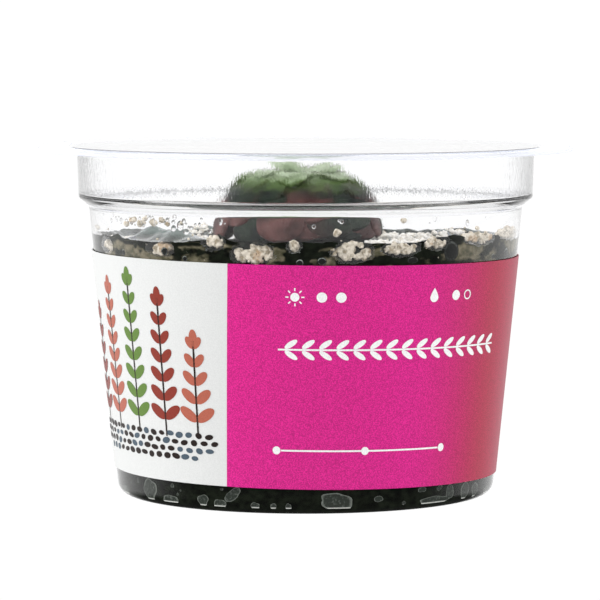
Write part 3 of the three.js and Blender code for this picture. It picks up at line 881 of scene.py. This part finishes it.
# From 50.5 mm up the leaves turn towards the near-black teal: painted shade on the dome's
# shoulder, under the green of the heart.
tone = tone - 0.62 * place.axis("Z").ramp(0.0505, 0.0535)
dark_leaf_and_shade = tone.ramp(0.3, 0.48).between(teal_and_shade, maroon)
flesh = (lift.ramp(0.0532, 0.0572) * (0.75 + 0.5 * mottle)).between(dark_leaf_and_shade, flesh_green)
margin = place.kept("across").ramp(0.8, 1) * 0.2
gland_field = place.cells(0.42)
feed(
    leaf_finish,
    Base_Color=margin.between(flesh, tint(84, 58, 56)),
    Roughness=0.34 + 0.2 * mottle,
    Coat_Weight=0.1 * gland_field.ramp(0.5, 0.2),
    Normal=(mottle * 0.5 + gland_field.ramp(0.35, 0.05)).bump(0.45, 0.12),
)
piece(plant, "butterwort_leaves", [leaf_finish], ["rosette"])

# The roots: tapered threads that bow outwards in the gel under the neck. Each is drawn below the
# origin first, and then moved up.
roots = bmesh.new()
for index in range(ROOT_COUNT):
    turn = 2 * math.pi * index / ROOT_COUNT
    bmesh.ops.create_cone(
        roots, cap_ends=True, segments=10, radius1=ROOT_RADII[1], radius2=ROOT_RADII[0],
        depth=ROOT_LENGTH, matrix=Matrix.Translation((0, 0, -ROOT_LENGTH / 2)),
    )
    sides = [edge for edge in roots.edges if edge.calc_length() > ROOT_LENGTH / 2]
    bmesh.ops.subdivide_edges(roots, edges=sides, cuts=9)
    for vert in [vert for vert in roots.verts if vert.co.z <= 0]:
        depth = -vert.co.z / ROOT_LENGTH
        reach = ROOT_SPREAD * math.sin(math.pi * (0.25 + 0.6 * depth))
        vert.co += Vector((math.sin(turn + depth), -math.cos(turn + depth), 0)) * reach
        vert.co += Vector((ROSETTE_AXIS, 0, GEL_LEVEL))
root_finish, place = new_finish("root", Roughness=0.6)
feed(root_finish, Base_Color=place.cloud(1.2).between(tint(196, 186, 160), tint(150, 132, 104)))
piece(roots, "butterwort_roots", [root_finish])

# The glands: short hairs with a sticky drop at the tip, over the upper sides of the leaves.
HAIRS_A_LEAF = 80
HAIR_LENGTH = (0.15, 0.5)
HAIR_FOOT = 0.03
DROP_RADIUS = (0.04, 0.085)
hairs = bmesh.new()
draw = random.Random(7)
for leaf in leaves:
    leaf_hairs = bmesh.new()
    for hair in range(HAIRS_A_LEAF):
        along = draw.uniform(0.3, 0.98)
        across = draw.uniform(-1, 1)
        foot = leaf_point(leaf, along, across, math.sqrt(1 - across**2))
        slope = leaf["start"] + leaf["bend"] * along
        way = Vector((0, 0, math.cos(slope))) - leaf["outwards"] * math.sin(slope)
        way += leaf["across"] * (0.9 * across + draw.uniform(-0.3, 0.3))
        turn = way.to_track_quat("Z", "Y")
        length = draw.uniform(*HAIR_LENGTH)
        tip = foot + way.normalized() * length
        bmesh.ops.create_cone(
            leaf_hairs, cap_ends=True, segments=3, radius1=HAIR_FOOT, radius2=HAIR_FOOT / 2,
            depth=length, matrix=Matrix.LocRotScale((foot + tip) / 2, turn, None),
        )
        bmesh.ops.create_icosphere(
            leaf_hairs, subdivisions=1, radius=draw.uniform(*DROP_RADIUS),
            matrix=Matrix.Translation(tip),
        )
    join(hairs, leaf_hairs)
hair_finish, place = new_finish("gland_hairs", Roughness=0.2, Specular_IOR_Level=0.5)
hair_shade = place.cloud(2.5).ramp(0.4, 0.6)
feed(hair_finish, Base_Color=hair_shade.between(tint(84, 70, 74), tint(134, 138, 130)))
piece(hairs, "gland_hairs", [hair_finish])


# Film lid: a thin clear film welded to the rim in a ring, drawn nearly flat over the opening.
FILM_THICKNESS = 0.12
FILM_IOR = 1.3  # so thin that it hardly bends light
FILM_RADIUS = 47.2
FILM_RINGS = 40
FILM_SLACK = 0.05
WELD_INNER_RADIUS = 42.2
film_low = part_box("film_lid")[0].z / MM
film_corners = [(FILM_RADIUS * ring / FILM_RINGS, film_low, 0) for ring in range(FILM_RINGS + 1)]
film_bm = turned(film_corners, steps=180)
for vert in film_bm.verts:
    slack = 1 - smooth(vert.co.xy.length, 0.6 * WELD_INNER_RADIUS, WELD_INNER_RADIUS)
    vert.co.z += FILM_SLACK * (1 + noise.noise(vert.co * 0.09)) * slack
bmesh.ops.solidify(film_bm, geom=film_bm.faces[:], thickness=-FILM_THICKNESS)
film_bm.normal_update()
for face in film_bm.faces:
    face.material_index = int(face.calc_center_median().xy.length > WELD_INNER_RADIUS)
film_plastic, place = clear_finish("lid_film", FILM_IOR, (0.995, 0.995, 1, 1))
feed(film_plastic, Roughness=0.015 + 0.01 * place.cloud(9))
weld, place = hazy_finish("film_weld", 0.3)
feed(weld, Roughness=0.25 + 0.1 * place.cloud(2), Normal=place.cells(0.9).bump(0.3, 0.06))
film = piece(film_bm, "film_lid_sheet", [film_plastic, weld], ["film_lid"])
film.visible_shadow = False


# Label: a band of printed white film stuck round the body, a little askew and open at the back.
# It is drawn flat, x along the band from the front and y up from the foot, and then rolled on.
LABEL_LOW = 4.5
LABEL_HIGH = 43
LABEL_HALF_LENGTH = 108.6
LABEL_TILT = -0.0145
LABEL_ROLL_RADIUS = 36.2
LABEL_GAP = 0.12
LABEL_THICKNESS = 0.2
PANEL_EDGE_TOP = -12.9
PANEL_EDGE_FOOT = -14.7
PANEL_LEFT_EDGE = -64
INK_GAP = 0.035
INK_THICKNESS = 0.02


def rolled(bm, gap):
    """Rolls what is drawn flat round the body, with its own z as a height above the gap."""
    for vert in bm.verts:
        along, height, proud = vert.co
        turn = along / LABEL_ROLL_RADIUS
        height += LABEL_TILT * LABEL_ROLL_RADIUS * math.sin(turn)
        radius = body_radius(height) + gap + proud
        vert.co = (radius * math.sin(turn), -radius * math.cos(turn), height)
    face_out(bm)


label_bm = bmesh.new()
label_height = LABEL_HIGH - LABEL_LOW
label_middle = (0, LABEL_LOW + label_height / 2, 0)
label_shape = Matrix.LocRotScale(label_middle, None, (LABEL_HALF_LENGTH, label_height / 2, 1))
bmesh.ops.create_grid(label_bm, x_segments=300, y_segments=10, size=1, matrix=label_shape)
panel_start = Vector((PANEL_EDGE_FOOT, LABEL_LOW, 0))
panel_normal = Vector((label_height, PANEL_EDGE_FOOT - PANEL_EDGE_TOP, 0)).normalized()
for cut_at, normal in (
    (panel_start, panel_normal),
    (Vector((PANEL_LEFT_EDGE, LABEL_LOW, 0)), Vector((1, 0, 0))),
):
    everything = label_bm.verts[:] + label_bm.edges[:] + label_bm.faces[:]
    bmesh.ops.bisect_plane(label_bm, geom=everything, plane_co=cut_at, plane_no=normal)
for face in label_bm.faces:
    centre = face.calc_center_median()
    in_print = (centre - panel_start).dot(panel_normal) > 0 or centre.x < PANEL_LEFT_EDGE
    face.material_index = int(in_print)
bmesh.ops.solidify(label_bm, geom=label_bm.faces[:], thickness=-LABEL_THICKNESS)
rolled(label_bm, LABEL_GAP)


def print_finish(name, colour, darkest=238):
    """Ink on satin film: a fine press grain, and a thin clear varnish."""
    finish, place = new_finish(name, Specular_IOR_Level=0.15, Coat_Roughness=0.25)
    grain = place.cloud(0.2, 2)
    grey = grain.ramp(0.35, 0.65).between(tint(darkest, darkest, darkest), tint(255, 255, 255))
    layers = {0: grey, 1: colour(place)}
    feed(
        finish,
        Base_Color=place.node("ShaderNodeVectorMath", {"operation": "MULTIPLY"}, layers),
        Roughness=0.36 + 0.1 * grain,
        Coat_Weight=0.04 + 0.06 * grain,
    )
    return finish


def magenta_to_rose(place):
    """Magenta across the front, and dusty rose round the right-hand side to the back, darkened
    there partly as painted shade where the band turns from the lights.
    """
    turn = place.maths("ARCTAN2", place.axis("X"), -1 * place.axis("Y"))
    return turn.ramp(0.48, 1.12).between(tint(225, 42, 145), tint(185, 50, 80))


white_film = print_finish("label_film", lambda place: tint(213, 214, 213)[:3], 246)
magenta_print = print_finish("label_magenta", magenta_to_rose, 204)
piece(label_bm, "label_band", [white_film, magenta_print], ["label"])

# Its printed signs: dots for light and for moisture after a small sun and a drop, a leaf border,
# a dotted rule, and sprigs over pebbles on the white panel. There is no lettering.
WHITE_INK, RED_INK, GREEN_INK, DARK_INK, ROSE_INK, SLATE_INK = range(6)
signs = bmesh.new()


def inked(shape, ink):
    for face in {face for vert in shape["verts"] for face in vert.link_faces}:
        face.material_index = ink


def laid(x, y, length, width, lean):
    """Where a sign of that size lies on the flat label, leaning by that many degrees."""
    turn = Matrix.Rotation(math.radians(lean), 4, "Z")
    return Matrix.Translation((x, y, 0)) @ turn @ Matrix.Diagonal((length / 2, width / 2, 1, 1))


def disc(x, y, width, height, ink, lean=0, sides=20):
    """An oval of ink."""
    made = bmesh.ops.create_circle(
        signs, cap_ends=True, cap_tris=True, segments=sides, radius=1,
        matrix=laid(x, y, width, height, lean),
    )
    inked(made, ink)
    return made


def bar(x, y, length, width, ink, lean=0, steps=24):
    """A straight stroke of ink."""
    made = bmesh.ops.create_grid(
        signs, x_segments=steps, y_segments=1, size=1, matrix=laid(x, y, length, width, lean),
    )
    inked(made, ink)


def ring(x, y, radius, width, ink):
    """An open ring of ink."""
    at = Matrix.Translation((x, y, 0))
    made = bmesh.ops.create_circle(signs, segments=28, radius=radius, matrix=at)
    rim = list({edge for vert in made["verts"] for edge in vert.link_edges})
    drawn = bmesh.ops.extrude_edge_only(signs, edges=rim)["geom"]
    share = 1 - width / radius
    bmesh.ops.scale(signs, vec=(share, share, 1), space=at.inverted(), verts=verts_in(drawn))
    inked(made, ink)


SIGN_HEIGHT = 37.6
DOT = 1.75
SUN_X = -1.8
DROP_X = 22.6
DROP_HEIGHT = 37.4
THIN_STROKE = 0.22
disc(SUN_X, SIGN_HEIGHT, 1.5, 1.5, WHITE_INK)
for ray in range(8):
    turn = 2 * math.pi * ray / 8
    ray_x = SUN_X + 1.3 * math.cos(turn)
    ray_y = SIGN_HEIGHT + 1.3 * math.sin(turn)
    bar(ray_x, ray_y, 0.5, THIN_STROKE, WHITE_INK, math.degrees(turn), 1)
for x in (2.6, 5.8, 27.4):
    disc(x, SIGN_HEIGHT, DOT, DOT, WHITE_INK)
ring(30.2, SIGN_HEIGHT, 0.86, THIN_STROKE, WHITE_INK)
for vert in disc(DROP_X, DROP_HEIGHT, 1.7, 1.7, WHITE_INK)["verts"]:
    rise = vert.co.y - DROP_HEIGHT
    if rise > 0:
        vert.co.x = DROP_X + (vert.co.x - DROP_X) * max(0, 1 - rise / 0.85) ** 0.5
        vert.co.y += rise * 0.9

STROKE = 0.3
BORDER_HEIGHT = 28.6
LEAFLET_PAIRS = 15
LEAFLET_RISE = 0.95
bar(17.3, BORDER_HEIGHT, 44, STROKE, WHITE_INK, steps=60)
for pair in range(LEAFLET_PAIRS):
    for side in (1, -1):
        leaflet_y = BORDER_HEIGHT + side * LEAFLET_RISE
        disc(-2.5 + 2.9 * pair, leaflet_y, 2.5, 0.95, WHITE_INK, side * 34)
RULE_HEIGHT = 11.2
RULE_MIDDLE = 10.6
bar(RULE_MIDDLE, RULE_HEIGHT, 30, STROKE, WHITE_INK, steps=40)
for x in (RULE_MIDDLE - 15.8, RULE_MIDDLE, RULE_MIDDLE + 15.8):
    disc(x, RULE_HEIGHT, 1.4, 1.4, WHITE_INK)

# Sprigs: x of the foot, height, pairs of leaflets, ink of the leaflets.
SPRIG_FOOT = 12.4
for foot_x, sprig_height, pairs, ink in (
    (-50, 20, 6, RED_INK), (-42.4, 25, 8, ROSE_INK), (-34.8, 27, 8, GREEN_INK),
    (-27.2, 24, 7, RED_INK), (-20, 17, 5, ROSE_INK),
):
    bar(foot_x, SPRIG_FOOT + sprig_height / 2, sprig_height, 0.36, DARK_INK, 90, 20)
    for pair in range(pairs):
        share = pair / (pairs - 1)
        node_y = SPRIG_FOOT + 3.1 + (sprig_height - 4.4) * share
        length = 4.1 - 1.7 * share
        for side in (-1, 1):
            lean = 90 - side * (58 - 22 * share)
            x = foot_x + length / 2 * math.cos(math.radians(lean))
            y = node_y + length / 2 * math.sin(math.radians(lean))
            disc(x, y, length, 1.9 - 0.5 * share, ink, lean)
    disc(foot_x, SPRIG_FOOT + 0.5 + sprig_height, 1.6, 3, ink)
PEBBLE_ROWS = (14, 17, 18, 17)
PEBBLE_MIDDLE = -35
PEBBLE_SPACING = 2.15
PEBBLE_LOW = 9
PEBBLE_ROW_HEIGHT = 1.3
draw = random.Random(3)
for row, in_row in enumerate(PEBBLE_ROWS):
    for pebble in range(in_row):
        x = PEBBLE_MIDDLE + PEBBLE_SPACING * (pebble - (in_row - 1) / 2)
        y = PEBBLE_LOW + PEBBLE_ROW_HEIGHT * row + draw.uniform(-0.1, 0.1)
        ink = draw.choice((DARK_INK, DARK_INK, SLATE_INK))
        width = draw.uniform(1.3, 1.95)
        disc(x, y, width, draw.uniform(0.8, 1.15), ink, draw.uniform(-14, 14), 12)

inks = {
    "white": (242, 242, 242), "red": (138, 58, 48), "green": (98, 128, 60),
    "dark": (46, 38, 36), "rose": (176, 98, 80), "slate": (78, 92, 104),
}
ink_finishes = [
    print_finish(f"ink_{name}", lambda place, colour=colour: tint(*colour)[:3])
    for name, colour in inks.items()
]
bmesh.ops.solidify(signs, geom=signs.faces[:], thickness=-INK_THICKNESS)
rolled(signs, LABEL_GAP + LABEL_THICKNESS + INK_GAP)
piece(signs, "label_signs", ink_finishes)


# Studio: a white floor, a white surround that is dim in front and below, so that the clear wall
# shows no glare, and four broad lights: one at each side, one in front and one overhead.
CAMERA_AT = Vector((-0.001, -0.676, 0.0855))
CAMERA_PITCH = 4.33
CAMERA_LENS = 227.6
SENSOR_WIDTH = 36
FLOOR_RADIUS = 4
WHITE = (1, 1, 1, 1)
FLOOR_GLOW = 1.02
DIM_SURROUND = 0.07
BRIGHT_SURROUND = 1.05
LIGHTS_AIM = Vector((0, 0, 0.03))
floor_bm = bmesh.new()
bmesh.ops.create_circle(floor_bm, cap_ends=True, segments=96, radius=FLOOR_RADIUS)
floor = put_in_scene(as_mesh(floor_bm, "floor"), "floor")
floor_finish, place = new_finish(
    "floor_card", Base_Color=(0, 0, 0, 1), Specular_IOR_Level=0,
    Emission_Color=WHITE, Emission_Strength=FLOOR_GLOW,
)
floor.data.materials.append(floor_finish)
floor.visible_glossy = False

scene = bpy.context.scene
scene.world = bpy.data.worlds.new("surround")
scene.world.use_nodes = True
tree = scene.world.node_tree
way = Field(tree, tree.nodes.new("ShaderNodeTexCoord").outputs["Generated"])
paths = tree.nodes.new("ShaderNodeLightPath").outputs
seen = Field(tree, paths["Is Camera Ray"])
seen = seen.maths("MAXIMUM", seen, Field(tree, paths["Is Transmission Ray"]))
unseen = DIM_SURROUND + way.axis("Y").ramp(-0.35, 0.45) * way.axis("Z").ramp(-0.5, -0.2)
strength = unseen + (BRIGHT_SURROUND - unseen) * seen
tree.links.new(strength.socket, tree.nodes["Background"].inputs["Strength"])
tree.nodes["Background"].inputs["Color"].default_value = WHITE

# Broad lights: name, place, size, watts.
for name, at, size, watts in (
    ("left", (-1, 0, 0.3), 0.7, 8.6),
    ("right", (1, 0, 0.3), 0.7, 3.6),
    ("front", (0, -1.2, 0.4), 0.6, 7.5),
    ("overhead", (0, 0.1, 1.1), 1.2, 10),
):
    lamp = bpy.data.lights.new(name, "AREA")
    lamp.size = size
    lamp.energy = watts
    lit = put_in_scene(lamp, name)
    lit.location = at
    lit.rotation_euler = (LIGHTS_AIM - lit.location).to_track_quat("-Z", "Y").to_euler()
    lit.visible_glossy = False
    lit.visible_transmission = False

camera_data = bpy.data.cameras.new("camera")
camera_data.lens = CAMERA_LENS
camera_data.sensor_width = SENSOR_WIDTH
camera = put_in_scene(camera_data, "camera")
camera.location = CAMERA_AT
camera.rotation_euler = (math.radians(90 - CAMERA_PITCH), 0, 0)
scene.camera = camera
scene.view_settings.view_transform = "Standard"
